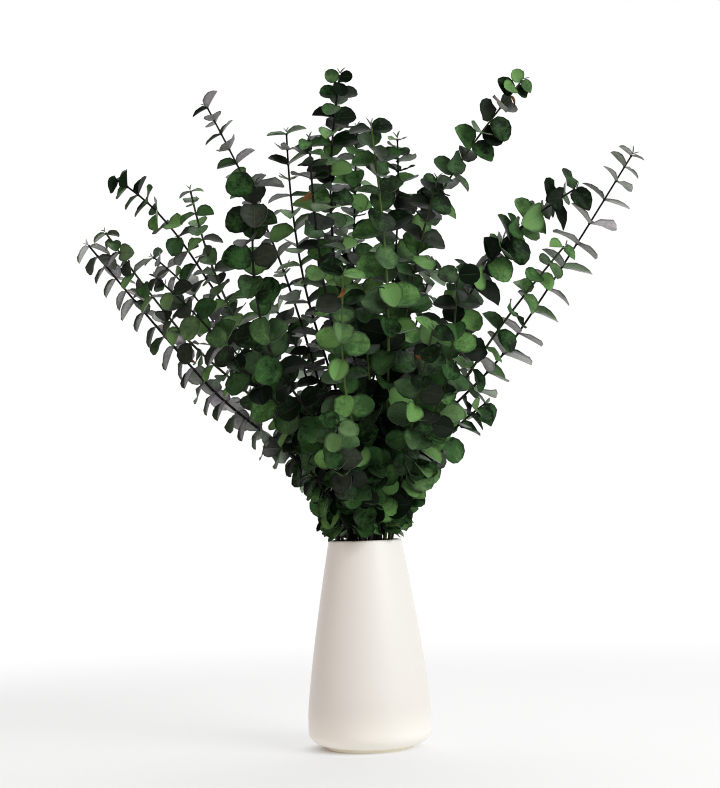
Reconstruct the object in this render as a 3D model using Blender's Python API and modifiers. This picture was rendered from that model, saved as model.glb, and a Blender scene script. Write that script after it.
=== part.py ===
"""Eucalyptus branches in a ceramic vase: a big airy bunch of cut, leafy stems in one turned vase.

Run it with: blender --background --python part.py
Metres, +Z up. The origin is the centre of the vase's flat foot, on the surface that it stands on.
"""

from typing import NamedTuple

import bmesh
import bpy
import numpy as np
from mathutils import Matrix

# Vase, turned about Z
VASE_HEIGHT = 0.195
VASE_WALL = 0.004
VASE_FLOOR = 0.008
MOUTH_RADIUS = 0.0344
BELLY_RADIUS = 0.0582
BELLY_TOP = 0.03  # the side is straight below this and draws in above it
SIDE_CURVE = 1.25
CORNER_WIDTH = 0.0177  # the round from the foot out to the side, wider than it is high
CORNER_HEIGHT = 0.0135
INNER_CORNER = 0.008
FOOT_RADIUS = 0.0405
FOOT_HEIGHT = 0.003
SIDE_POINTS = 6
ARC_POINTS = 4
LIP_POINTS = 5
VASE_STEPS = 32

# Bunch: the stems stand in two rings and lean the same way round, so their straight lengths never meet
STEM_FOOT_Z = 0.0085
NECK_Z = 0.2
WAIST_Z = 0.1
STEM_FOOT_RADIUS = 0.0018
STEM_TIP_RADIUS = 0.0009
STEM_TURNS_AFTER = 0.35
COURSE_STEPS = 10


class Ring(NamedTuple):
    """A ring of stems: its smallest radius, how far its stems lean, and the angle of its first stem."""

    radius: float
    lean: float
    start: float


RINGS = {
    "outer": Ring(radius=0.0168, lean=0.205, start=-3.1),
    "inner": Ring(radius=0.0096, lean=0.125, start=-3.0),
}


class Branch(NamedTuple):
    """One cut branch: the points that its stem passes through above the vase, and the habit of its leaves."""

    name: str
    ring: str
    middle: tuple  # a point half-way along the free stem
    tip: tuple
    leaf: float  # length of its full-grown leaves
    young: float = 0.6  # size of the leaves at its tip, of a full-grown one
    bare: float = 0.02  # share of the free stem that has no leaves
    facing: float = 0.3  # how far its leaves turn from square to the stem towards the outside of the bunch
    hang: float = 0.0  # how far its leaves droop
    twist: float = 0.0  # angle of the first pair of leaves round the stem
    turn: float = 1.0  # from one pair to the next, in quarter turns
    pitch: float = 0.72  # distance between two pairs, in leaf lengths
    roll: float = 0.55  # how far a blade may turn about its own length


BRANCHES = (
    # near side
    Branch(
        "front_left_high", "outer", (-0.080, -0.120, 0.370), (-0.085, -0.190, 0.505), 0.0255,
        young=0.9, facing=0.8,
    ),
    Branch(
        "front_centre_high", "inner", (0.027, -0.080, 0.400), (0.016, -0.120, 0.565), 0.0265,
        young=0.8, facing=0.6, pitch=0.62,
    ),
    Branch(
        "front_left_inner", "inner", (-0.030, -0.070, 0.425), (-0.040, -0.100, 0.560), 0.0235,
        twist=1.1,
    ),
    Branch(
        "front_right_high", "outer", (0.072, -0.095, 0.320), (0.088, -0.140, 0.430), 0.023,
        young=0.8, facing=0.6,
    ),
    Branch(
        "front_centre_low", "outer", (-0.012, -0.110, 0.320), (-0.012, -0.170, 0.430), 0.0225,
        young=0.9, facing=0.7,
    ),
    Branch(
        "front_right_low", "outer", (0.045, -0.100, 0.300), (0.064, -0.160, 0.380), 0.022,
        young=0.9, facing=0.7, twist=0.1,
    ),
    Branch(
        "front_left_low", "outer", (-0.110, -0.090, 0.360), (-0.178, -0.130, 0.435), 0.023,
        facing=0.5, hang=0.3,
    ),
    Branch(
        "front_lowest", "outer", (-0.020, -0.085, 0.260), (-0.020, -0.150, 0.300), 0.021,
        young=0.9, facing=0.8,
    ),
    Branch(
        "near_right_lowest", "outer", (0.050, -0.065, 0.270), (0.070, -0.120, 0.320), 0.0215,
        young=0.9, facing=0.7,
    ),
    # left side
    Branch(
        "far_left_lowest", "outer", (-0.147, -0.010, 0.348), (-0.253, -0.020, 0.480), 0.022,
        young=0.85, facing=0.0, turn=0.03, hang=1.0, pitch=0.65, roll=0.2,
    ),
    Branch(
        "far_left_high", "outer", (-0.152, 0.020, 0.460), (-0.233, 0.040, 0.552), 0.0225,
        young=0.7, facing=0.6, hang=0.2, twist=0.7,
    ),
    Branch(
        "far_left_middle", "outer", (-0.165, -0.040, 0.393), (-0.230, -0.070, 0.485), 0.0195,
        young=0.7, hang=0.5,
    ),
    Branch(
        "left_dark", "inner", (-0.067, 0.050, 0.442), (-0.147, 0.090, 0.632), 0.0215,
        young=0.9, pitch=0.8, roll=0.3,
    ),
    Branch(
        "left_middle", "inner", (-0.115, -0.040, 0.404), (-0.152, -0.060, 0.523), 0.02,
        young=0.65, hang=0.2, roll=0.35,
    ),
    Branch(
        "left_behind", "outer", (-0.140, 0.085, 0.406), (-0.210, 0.130, 0.487), 0.0205,
        young=0.7, hang=0.3, twist=0.5,
    ),
    # centre
    Branch(
        "centre_left_high", "inner", (-0.051, -0.010, 0.442), (-0.063, -0.030, 0.580), 0.024,
        young=0.85, facing=0.15, roll=0.25,
    ),
    Branch(
        "tallest", "inner", (-0.022, -0.020, 0.470), (-0.011, -0.040, 0.632), 0.0225,
        young=0.6, facing=0.9, pitch=0.55,
    ),
    Branch(
        "centre_thin", "inner", (-0.003, 0.095, 0.484), (0.004, 0.140, 0.617), 0.022,
        young=0.5, facing=0.7, twist=0.2, pitch=0.6, roll=0.3,
    ),
    Branch(
        "centre_right_high", "inner", (0.033, 0.020, 0.434), (0.043, 0.040, 0.585), 0.024,
        twist=0.9, pitch=0.6,
    ),
    Branch(
        "centre_middle", "outer", (0.010, -0.050, 0.325), (0.005, -0.075, 0.425), 0.0235,
        young=0.9, facing=0.6,
    ),
    Branch(
        "right_inner", "inner", (0.043, -0.040, 0.399), (0.076, -0.060, 0.526), 0.0245,
        facing=0.4, twist=0.5,
    ),
    # right side
    Branch(
        "upper_right", "inner", (0.043, -0.010, 0.445), (0.161, -0.030, 0.624), 0.024,
        young=0.55, facing=1.2, pitch=0.66, roll=0.35,
    ),
    Branch(
        "far_right", "outer", (0.144, -0.010, 0.377), (0.259, -0.045, 0.547), 0.027,
        young=0.5, facing=0.0, turn=0.03, pitch=0.95, roll=0.2,
    ),
    Branch(
        "right_middle", "outer", (0.106, -0.030, 0.424), (0.205, -0.050, 0.516), 0.0265,
        young=0.85, facing=0.9, pitch=0.52,
    ),
    Branch(
        "right_behind", "inner", (0.090, 0.070, 0.415), (0.196, 0.110, 0.526), 0.023,
        facing=0.7, twist=0.2,
    ),
    Branch(
        "right_low", "outer", (0.103, -0.035, 0.350), (0.193, -0.050, 0.463), 0.023,
        young=0.75, facing=0.5, hang=0.4, twist=0.9, pitch=0.9,
    ),
    Branch(
        "right_lowest", "outer", (0.075, -0.014, 0.285), (0.120, 0.020, 0.322), 0.025,
        young=0.8, facing=0.6, hang=0.2,
    ),
    # far side
    Branch("back_centre", "outer", (-0.009, 0.120, 0.400), (-0.012, 0.200, 0.520), 0.024, facing=0.5),
    Branch(
        "back_left", "outer", (-0.061, 0.115, 0.380), (-0.109, 0.190, 0.456), 0.024,
        facing=0.5, twist=0.7,
    ),
    Branch(
        "back_right", "outer", (0.052, 0.115, 0.390), (0.080, 0.190, 0.480), 0.024,
        facing=0.5, twist=0.1,
    ),
    Branch(
        "back_right_low", "outer", (0.075, 0.090, 0.340), (0.118, 0.150, 0.385), 0.024,
        facing=0.5, hang=0.2,
    ),
    Branch(
        "back_left_low", "outer", (-0.071, 0.090, 0.330), (-0.149, 0.145, 0.411), 0.024,
        facing=0.5, hang=0.2,
    ),
)

# Leaves: pairs along each stem, every pair turned a quarter from the one before
LEAF_THICKNESS = 0.0011
LEAF_WIDTH = 0.92  # of its length
LEAF_SIDES = 5
LEAF_SEAT = 0.5  # from the middle of the stem to the narrow end of the leaf, in stem radii
YOUNG_PAIRS = 4  # pairs before the leaves are full-grown
LEAF_RISE = (-0.1, 0.5)  # angle of a leaf above the plane of its pair
FACING_SPREAD = (0.2, 1.5)
DROOP = 1.3
BUNCH_REACH = 0.2  # leaves farther out than this turn outwards more than to the light
LIGHT_SIDE = np.array([0.1, -1.0, 0.15])
LEAF_CLEARANCE = 0.0016  # between the middle planes of two leaves
STEM_CLEARANCE = 0.0014  # beside the radius of another stem
TRIES = 26
GROWN_SHARE = 0.9  # leaves under this share of a full-grown one are too small for the solids
SMALLEST_SHARE = 0.7  # a leaf that finds no room may shrink to this
SEED = 7


class Leaf(NamedTuple):
    """One leaf: where it grows, the unit vectors along and square to its blade, its length, and its kind."""

    base: np.ndarray
    along: np.ndarray
    normal: np.ndarray
    length: float
    age: float  # 0 at the tip of the branch, 1 at its lowest leaf
    stem_radius: float  # where it grows


def unit(vector):
    return vector / np.linalg.norm(vector)


def turned(vector, axis, angle):
    """The vector turned about a unit axis."""
    return (
        vector * np.cos(angle)
        + np.cross(axis, vector) * np.sin(angle)
        + axis * np.dot(axis, vector) * (1 - np.cos(angle))
    )


def ring_angles():
    """Angle of each branch at the waist of its ring, in the order of their tips round the vase."""
    angles = {}
    for ring_name, ring in RINGS.items():
        members = [b for b in BRANCHES if b.ring == ring_name]
        members.sort(key=lambda b: np.arctan2(b.tip[1], b.tip[0]))
        for place, branch in enumerate(members):
            angles[branch.name] = ring.start + 2 * np.pi * place / len(members)
    return angles


def stem_line(ring, angle, z):
    """The point at height z on the straight part of a stem."""
    run = (z - WAIST_Z) * ring.lean
    x = ring.radius * np.cos(angle) - run * np.sin(angle)
    y = ring.radius * np.sin(angle) + run * np.cos(angle)
    return np.array([x, y, z])


def hermite(start, end, start_slope, end_slope, t):
    """A cubic from start to end, t from 0 to 1."""
    return (
        (2 * t**3 - 3 * t**2 + 1) * start
        + (t**3 - 2 * t**2 + t) * start_slope
        + (3 * t**2 - 2 * t**3) * end
        + (t**3 - t**2) * end_slope
    )


def free_course(branch, angle, steps):
    """Points from the neck of the vase to the tip: straight on out of the vase, then through the middle point."""
    ring = RINGS[branch.ring]
    foot, neck = stem_line(ring, angle, STEM_FOOT_Z), stem_line(ring, angle, NECK_Z)
    middle, tip = np.array(branch.middle), np.array(branch.tip)
    first = np.linalg.norm(middle - neck)
    leaving = unit(unit(neck - foot) + STEM_TURNS_AFTER * unit(middle - neck)) * first
    through = (tip - neck) / 2
    ending = 1.5 * (tip - middle) - 0.5 * through
    ts = np.linspace(0, 1, steps // 2 + 1)
    lower = [hermite(neck, middle, leaving, through, t) for t in ts]
    upper = [hermite(middle, tip, through, ending, t) for t in ts[1:]]
    return np.array(lower + upper)


def resampled(points, count):
    """The same course with points evenly spaced."""
    reach = np.concatenate([[0], np.cumsum(np.linalg.norm(np.diff(points, axis=0), axis=1))])
    places = np.linspace(0, reach[-1], count)
    return np.stack([np.interp(places, reach, points[:, k]) for k in range(3)], axis=1)


def disc_distance(points, centre, normal, radius):
    """Distance from each point to a flat disc."""
    away = points - centre
    height = np.sum(away * normal, axis=-1)
    flat = np.linalg.norm(away - height[..., None] * normal, axis=-1)
    return np.hypot(height, np.maximum(flat - radius, 0))


class Room:
    """What space is taken: the leaves placed so far and every stem."""

    RIM = 10

    def __init__(self, stems):
        self.stem_points = np.concatenate([points for points, _ in stems.values()])
        self.stem_radii = np.concatenate([radii for _, radii in stems.values()])
        self.stem_names = np.concatenate([[name] * len(points) for name, (points, _) in stems.items()])
        self.centres, self.normals, self.radii = np.empty((0, 3)), np.empty((0, 3)), np.empty(0)
        self.nodes = np.empty((0, 3))

    def disc(self, leaf):
        return leaf.base + leaf.along * leaf.length / 2, leaf.normal, leaf.length / 2

    def outline(self, centre, normal, along, radius):
        across = np.cross(normal, along)
        turn = np.linspace(0, 2 * np.pi, self.RIM, endpoint=False)[:, None]
        rim = np.cos(turn) * along + np.sin(turn) * across
        return np.concatenate([[centre], centre + rim * radius, centre + rim * radius * 0.5])

    def fits(self, leaf, branch_name):
        """True if the leaf stays clear of the vase, of every stem and of the other leaves."""
        centre, normal, radius = self.disc(leaf)
        outline = self.outline(centre, normal, leaf.along, radius)
        if outline[:, 2].min() < VASE_HEIGHT + 0.004:
            return False
        gap = np.linalg.norm(self.stem_points - centre, axis=1)
        near = gap < radius + 0.01
        own = self.stem_names == branch_name
        own &= np.linalg.norm(self.stem_points - leaf.base, axis=1) < 0.006
        near &= ~own
        if near.any():
            apart = disc_distance(self.stem_points[near], centre, normal, radius)
            if (apart < self.stem_radii[near] + STEM_CLEARANCE).any():
                return False
        others = np.linalg.norm(self.centres - centre, axis=1) < self.radii + radius + LEAF_CLEARANCE
        others &= np.linalg.norm(self.nodes - leaf.base, axis=1) > 0.001
        for k in np.flatnonzero(others):
            other = self.centres[k], self.normals[k], self.radii[k]
            if disc_distance(outline, *other).min() < LEAF_CLEARANCE:
                return False
            across = unit(np.cross(self.normals[k], unit(np.array([0.3, 0.5, 0.8]))))
            back = self.outline(other[0], other[1], np.cross(across, self.normals[k]), other[2])
            if disc_distance(back, centre, normal, radius).min() < LEAF_CLEARANCE:
                return False
        return True

    def take(self, leaf):
        centre, normal, radius = self.disc(leaf)
        self.centres = np.vstack([self.centres, centre])
        self.normals = np.vstack([self.normals, normal])
        self.radii = np.append(self.radii, radius)
        self.nodes = np.vstack([self.nodes, leaf.base])


def leaf_at(branch, base, tangent, side, length, age, stem_radius, chance):
    """A leaf that grows from base on the given side of the stem, in the plane of its pair, with its own tilt."""
    outside = unit(np.array([base[0], base[1], 0.0]) / BUNCH_REACH + LIGHT_SIDE)
    facing = branch.facing * chance.uniform(*FACING_SPREAD)
    plane = unit((1 - facing) * tangent + facing * outside)
    along = unit(side - np.dot(side, plane) * plane)
    rise = chance.uniform(*LEAF_RISE)
    along = unit(np.cos(rise) * along + np.sin(rise) * plane)
    normal = unit(plane - np.dot(plane, along) * along)
    hung = unit(along + np.array([0, 0, -DROOP]) * branch.hang * chance.uniform(0.6, 1.3))
    normal = unit(normal - np.dot(normal, hung) / (1 + np.dot(along, hung)) * (along + hung))
    normal = turned(normal, hung, chance.uniform(-branch.roll, branch.roll))
    return Leaf(base, hung, normal, length, age, stem_radius)


def stem_radius(share):
    """Radius of a stem at this share of its whole length, from its foot."""
    return STEM_FOOT_RADIUS + (STEM_TIP_RADIUS - STEM_FOOT_RADIUS) * share


def grow_leaves(branch, course, room, chance):
    """Pairs of leaves from the tip down, each pair a quarter turn from the last."""
    inside = NECK_Z - STEM_FOOT_Z
    steps = np.linalg.norm(np.diff(course, axis=0), axis=1)
    reach = np.concatenate([[0], np.cumsum(steps)])
    total = reach[-1]
    leaves, pair, place = [], 0, total - 0.002
    reference = unit(np.cross(np.array([0.0, 1.0, 0.0]), unit(course[-1] - course[-2])))
    while place > branch.bare * total:
        grown = branch.young + (1 - branch.young) * min(1, pair / YOUNG_PAIRS)
        base = np.array([np.interp(place, reach, course[:, k]) for k in range(3)])
        ahead = np.array([np.interp(min(place + 0.002, total), reach, course[:, k]) for k in range(3)])
        behind = np.array([np.interp(place - 0.002, reach, course[:, k]) for k in range(3)])
        tangent = unit(ahead - behind)
        square = unit(reference - np.dot(reference, tangent) * tangent)
        radius = stem_radius((inside + place) / (inside + total))
        turn = branch.twist + pair * branch.turn * np.pi / 2 + chance.uniform(-0.3, 0.3)
        for half_turn in (0, np.pi):
            side = turned(square, tangent, turn + half_turn)
            length = branch.leaf * grown * chance.uniform(0.88, 1.12)
            for attempt in range(TRIES):
                share = 1 - (1 - SMALLEST_SHARE) * attempt / TRIES
                nudged = turned(side, tangent, chance.uniform(-0.06, 0.06) * attempt)
                leaf = leaf_at(branch, base, tangent, nudged, length * share, 1 - place / total, radius, chance)
                if room.fits(leaf, branch.name):
                    room.take(leaf)
                    leaves.append(leaf)
                    break
        pair += 1
        place -= branch.leaf * grown * branch.pitch * chance.uniform(0.85, 1.15)
    return leaves


def grown_bunch():
    """Each branch's whole course, and its leaves."""
    angles = ring_angles()
    courses = {b.name: free_course(b, angles[b.name], COURSE_STEPS) for b in BRANCHES}
    stems = {}
    for branch in BRANCHES:
        foot = stem_line(RINGS[branch.ring], angles[branch.name], STEM_FOOT_Z)
        points = resampled(np.vstack([foot, courses[branch.name]]), 120)
        stems[branch.name] = (points, stem_radius(np.linspace(0, 1, len(points))))
    room = Room(stems)
    bunch = []
    for number, branch in enumerate(BRANCHES):
        chance = np.random.default_rng([SEED, number])
        leaves = grow_leaves(branch, courses[branch.name], room, chance)
        foot = stem_line(RINGS[branch.ring], angles[branch.name], STEM_FOOT_Z)
        bunch.append((branch, np.vstack([foot, courses[branch.name]]), leaves))
    return bunch


def clear_scene():
    for thing in list(bpy.data.objects):
        bpy.data.objects.remove(thing)


def new_collection(name):
    collection = bpy.data.collections.new(name)
    bpy.context.scene.collection.children.link(collection)
    return collection


def new_material(name, color, roughness):
    material = bpy.data.materials.new(name)
    material.use_nodes = True
    shader = material.node_tree.nodes["Principled BSDF"]
    shader.inputs["Base Color"].default_value = (*color, 1)
    shader.inputs["Roughness"].default_value = roughness
    shader.inputs["Metallic"].default_value = 0
    return material


def arc(centre_r, centre_z, width, height, start, end, count):
    """Points of the vase's outline along an arc, angles in degrees."""
    turns = np.radians(np.linspace(start, end, count))
    return [(centre_r + width * np.cos(t), centre_z + height * np.sin(t)) for t in turns]


def side_radius(z):
    """Outer radius of the vase's side at height z."""
    share = max(0, (z - BELLY_TOP) / (VASE_HEIGHT - BELLY_TOP))
    return BELLY_RADIUS - (BELLY_RADIUS - MOUTH_RADIUS) * share**SIDE_CURVE


def vase_outline():
    """The vase's half section, from the middle of its inside floor up, over the lip and down to the foot."""
    lip = VASE_WALL / 2
    heights = np.linspace(BELLY_TOP, VASE_HEIGHT - lip, SIDE_POINTS)
    inner_r, inner_z = BELLY_RADIUS - VASE_WALL - INNER_CORNER, VASE_FLOOR + INNER_CORNER
    inside = [(0, VASE_FLOOR)]
    inside += arc(inner_r, inner_z, INNER_CORNER, INNER_CORNER, -90, 0, ARC_POINTS)
    inside += [(side_radius(z) - VASE_WALL, z) for z in heights]
    over = arc(side_radius(heights[-1]) - lip, heights[-1], lip, lip, 180, 0, LIP_POINTS)[1:-1]
    outside = [(side_radius(z), z) for z in heights[::-1]]
    corner_z = FOOT_HEIGHT + CORNER_HEIGHT
    outside += arc(BELLY_RADIUS - CORNER_WIDTH, corner_z, CORNER_WIDTH, CORNER_HEIGHT, 0, -90, ARC_POINTS)
    foot = [(FOOT_RADIUS, 0), (0, 0)]
    return inside + over + outside + foot


def make_vase(parts, material):
    outline = vase_outline()
    mesh = bpy.data.meshes.new("vase")
    mesh.from_pydata([(r, 0, z) for r, z in outline], [(k, k + 1) for k in range(len(outline) - 1)], [])
    vase = bpy.data.objects.new("vase", mesh)
    parts.objects.link(vase)
    mesh.materials.append(material)
    turn = vase.modifiers.new("turn", "SCREW")
    turn.axis = "Z"
    turn.steps = turn.render_steps = VASE_STEPS
    turn.use_merge_vertices = True
    turn.merge_threshold = 0.00001
    turn.use_smooth_shade = True
    return vase


def stem_mesh(name, course):
    """The stem: a tapering tube along its course, closed at both ends."""
    curve = bpy.data.curves.new(name, "CURVE")
    curve.dimensions = "3D"
    curve.bevel_depth = STEM_FOOT_RADIUS
    curve.bevel_resolution = 0
    curve.use_fill_caps = True
    spline = curve.splines.new("POLY")
    spline.points.add(len(course) - 1)
    run = np.concatenate([[0], np.cumsum(np.linalg.norm(np.diff(course, axis=0), axis=1))])
    for point, place, reach in zip(spline.points, course, run / run[-1]):
        point.co = (*place, 1)
        point.radius = stem_radius(reach) / STEM_FOOT_RADIUS
    guide = bpy.data.objects.new(name + "_course", curve)
    bpy.context.scene.collection.objects.link(guide)
    mesh = bpy.data.meshes.new_from_object(guide.evaluated_get(bpy.context.evaluated_depsgraph_get()))
    mesh.transform(guide.matrix_world)
    bpy.data.objects.remove(guide)
    soft = bmesh.new()
    soft.from_mesh(mesh)
    bmesh.ops.remove_doubles(soft, verts=soft.verts, dist=0.00001)
    soft.to_mesh(mesh)
    soft.free()
    return mesh


def leaf_lens(soft, leaf):
    """Adds a flat lens for one leaf, its narrow end sunk into the stem."""
    across = np.cross(leaf.along, leaf.normal)
    centre = leaf.base + leaf.along * (LEAF_SEAT * leaf.stem_radius + leaf.length / 2)
    columns = [
        -across * leaf.length * LEAF_WIDTH / 2,
        -leaf.along * leaf.length / 2,
        leaf.normal * LEAF_THICKNESS / 2,
        centre,
    ]
    shape = Matrix([[*(float(c[row]) for c in columns)] for row in range(3)] + [[0, 0, 0, 1]])
    bmesh.ops.create_uvsphere(soft, u_segments=LEAF_SIDES, v_segments=2, radius=1, matrix=shape)


def make_branch(branch, course, leaves, parts, cutters, material):
    """One branch: its stem and its grown leaves, joined into one body."""
    stem = bpy.data.objects.new(branch.name, stem_mesh(branch.name, course))
    parts.objects.link(stem)
    stem.data.materials.append(material)
    soft = bmesh.new()
    for leaf in leaves:
        if leaf.length > branch.leaf * GROWN_SHARE:
            leaf_lens(soft, leaf)
    mesh = bpy.data.meshes.new(branch.name + "_leaves")
    soft.to_mesh(mesh)
    soft.free()
    blades = bpy.data.objects.new(branch.name + "_leaves", mesh)
    cutters.objects.link(blades)
    blades.hide_render = True
    blades.display_type = "WIRE"
    mesh.materials.append(material)
    join = stem.modifiers.new("leaves", "BOOLEAN")
    join.operation = "UNION"
    join.solver = "EXACT"
    join.object = blades
    return stem


def main():
    clear_scene()
    parts = new_collection("eucalyptus_branches_in_vase")
    cutters = new_collection("leaf_shapes")
    make_vase(parts, new_material("vase_ceramic", (0.83, 0.79, 0.72), 0.45))
    foliage = new_material("branch_foliage", (0.05, 0.11, 0.04), 0.55)
    for branch, course, leaves in grown_bunch():
        make_branch(branch, course, leaves, parts, cutters, foliage)


if __name__ == "__main__":
    main()
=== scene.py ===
"""Eucalyptus branches in a cream ceramic vase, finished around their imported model.

Thirty-two leafy branches stand loose in a turned vase. Each branch is one piece here, as it is in
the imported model: a jointed stem that carries pairs of round, thin, slightly cupped leaves.
"""

import logging
import math
from dataclasses import dataclass, field
from enum import Enum
from typing import Any, Callable, Iterable, Iterator

import bmesh
import bpy
import numpy as np
from mathutils import Matrix, Vector

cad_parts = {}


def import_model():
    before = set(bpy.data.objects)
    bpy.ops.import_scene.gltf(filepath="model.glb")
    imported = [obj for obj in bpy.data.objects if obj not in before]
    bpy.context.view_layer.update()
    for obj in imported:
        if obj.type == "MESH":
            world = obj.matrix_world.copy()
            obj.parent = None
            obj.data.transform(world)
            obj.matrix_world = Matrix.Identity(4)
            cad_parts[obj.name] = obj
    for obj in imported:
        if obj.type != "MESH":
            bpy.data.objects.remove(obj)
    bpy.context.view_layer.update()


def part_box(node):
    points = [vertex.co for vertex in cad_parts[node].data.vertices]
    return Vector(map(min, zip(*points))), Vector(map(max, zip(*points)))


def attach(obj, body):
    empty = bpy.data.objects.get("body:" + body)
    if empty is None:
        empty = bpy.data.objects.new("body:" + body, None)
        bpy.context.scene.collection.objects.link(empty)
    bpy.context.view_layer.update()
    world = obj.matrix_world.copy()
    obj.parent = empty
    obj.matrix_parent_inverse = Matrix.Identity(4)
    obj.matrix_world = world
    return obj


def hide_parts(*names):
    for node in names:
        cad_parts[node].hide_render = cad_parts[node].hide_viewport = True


LOG = logging.getLogger("eucalyptus")
Colour = tuple[float, float, float]
Place = tuple[float, float, float]
Span = tuple[float, float]  # the ends of a range, or a width and a height
Vec = np.ndarray
Chance = np.random.Generator
Piece = bpy.types.Object
Finish = bpy.types.Material
UP = np.array([0.0, 0.0, 1.0])


# ---------------------------------------------------------------- shader building


class Value:
    """A socket that is used in Python expressions, each of which adds its Math nodes."""

    def __init__(self, tree: bpy.types.NodeTree, socket: bpy.types.NodeSocket) -> None:
        """Wraps an output socket of a node tree."""
        self.tree = tree
        self.socket = socket

    def _math(self, operation: str, *values: "Value | float") -> "Value":
        """Adds a Math node.

        Args:
            operation: The Math node's operation.
            values: Its inputs, each a Value or a number.

        Returns:
            The node's result.
        """
        node = self.tree.nodes.new("ShaderNodeMath")
        node.operation = operation
        for socket, value in zip(node.inputs, values):
            if isinstance(value, Value):
                self.tree.links.new(value.socket, socket)
            else:
                socket.default_value = value
        return Value(self.tree, node.outputs[0])

    def __add__(self, other: "Value | float") -> "Value":
        """Sum."""
        return self._math("ADD", self, other)

    __radd__ = __add__

    def __sub__(self, other: "Value | float") -> "Value":
        """Difference."""
        return self._math("SUBTRACT", self, other)

    def __rsub__(self, other: float) -> "Value":
        """Difference from a number."""
        return self._math("SUBTRACT", other, self)

    def __mul__(self, other: "Value | float") -> "Value":
        """Product."""
        return self._math("MULTIPLY", self, other)

    __rmul__ = __mul__

    def size(self) -> "Value":
        """Absolute value."""
        return self._math("ABSOLUTE", self)

    def wave(self) -> "Value":
        """Sine."""
        return self._math("SINE", self)

    def step(self, low: float, high: float) -> "Value":
        """Smooth step from 0 to 1.

        Args:
            low: Where the step is 0; it may lie above high.
            high: Where the step is 1.

        Returns:
            The step.
        """
        node = self.tree.nodes.new("ShaderNodeMapRange")
        node.interpolation_type = "SMOOTHSTEP"
        self.tree.links.new(self.socket, node.inputs["Value"])
        node.inputs["From Min"].default_value = low
        node.inputs["From Max"].default_value = high
        return Value(self.tree, node.outputs["Result"])


class Paint:
    """A material while it is put together."""

    def __init__(self, name: str) -> None:
        """Starts a material that holds one Principled shader.

        Args:
            name: The material's name.
        """
        self.material = bpy.data.materials.new(name)
        self.material.use_nodes = True
        self.tree = self.material.node_tree
        self.shader = self.tree.nodes["Principled BSDF"]

    def node(
        self, kind: str, settings: dict[str, Any], inputs: dict[str | int, Any]
    ) -> bpy.types.Node:
        """Adds a node.

        Args:
            kind: The node's type, without its ShaderNode prefix.
            settings: Properties of the node, set before its sockets.
            inputs: Values or links of its sockets, by name or number.

        Returns:
            The new node.
        """
        made = self.tree.nodes.new("ShaderNode" + kind)
        for key, value in settings.items():
            setattr(made, key, value)
        for key, value in inputs.items():
            self.feed(made.inputs[key], value)
        return made

    def feed(self, socket: bpy.types.NodeSocket, value: Any) -> None:
        """Links or sets one socket.

        Args:
            socket: An input socket.
            value: A Value, another socket, or a constant.
        """
        if isinstance(value, Value):
            self.tree.links.new(value.socket, socket)
        elif isinstance(value, bpy.types.NodeSocket):
            self.tree.links.new(value, socket)
        elif socket.type == "RGBA" and len(value) == 3:
            socket.default_value = (*value, 1)
        else:
            socket.default_value = value

    def value(self, node: bpy.types.Node, name: str | int = 0) -> Value:
        """One output of a node, ready for expressions."""
        return Value(self.tree, node.outputs[name])

    def attribute(self, name: str) -> Value:
        """A mesh attribute as a number."""
        return self.value(self.node("Attribute", {"attribute_name": name}, {}), "Fac")

    def place(self) -> bpy.types.NodeSocket:
        """Where a point lies in the object."""
        return self.node("TexCoord", {}, {}).outputs["Object"]

    def noise(self, scale: float, detail: float = 3, stretch: Place = (1, 1, 1)) -> Value:
        """Soft noise around one half.

        Args:
            scale: Features to the metre.
            detail: Octaves.
            stretch: Factors along X, Y and Z.

        Returns:
            The noise's value.
        """
        mapped = self.node("Mapping", {}, {"Vector": self.place(), "Scale": stretch})
        inputs = {"Vector": mapped.outputs[0], "Scale": scale, "Detail": detail}
        return self.value(self.node("TexNoise", {}, inputs), "Fac")

    def mix(self, first: Any, second: Any, share: Any) -> bpy.types.NodeSocket:
        """Two colours mixed, the second with this share."""
        made = self.node("Mix", {"data_type": "RGBA"}, {0: share, 6: first, 7: second})
        return made.outputs[2]

    def bump(self, height: Value, distance: float, strength: float) -> None:
        """Gives the shader a bump of this height."""
        inputs = {"Height": height, "Distance": distance, "Strength": strength}
        self.feed(self.shader.inputs["Normal"], self.node("Bump", {}, inputs).outputs[0])

    def wear(self, colour: Any, roughness: Any, **constants: Any) -> Finish:
        """Finishes the material.

        Args:
            colour: Base colour.
            roughness: Roughness.
            constants: Other sockets of the shader, with underscores for spaces.

        Returns:
            The material.
        """
        self.feed(self.shader.inputs["Base Color"], colour)
        self.feed(self.shader.inputs["Roughness"], roughness)
        for name, value in constants.items():
            self.feed(self.shader.inputs[name.replace("_", " ")], value)
        return self.material


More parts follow.
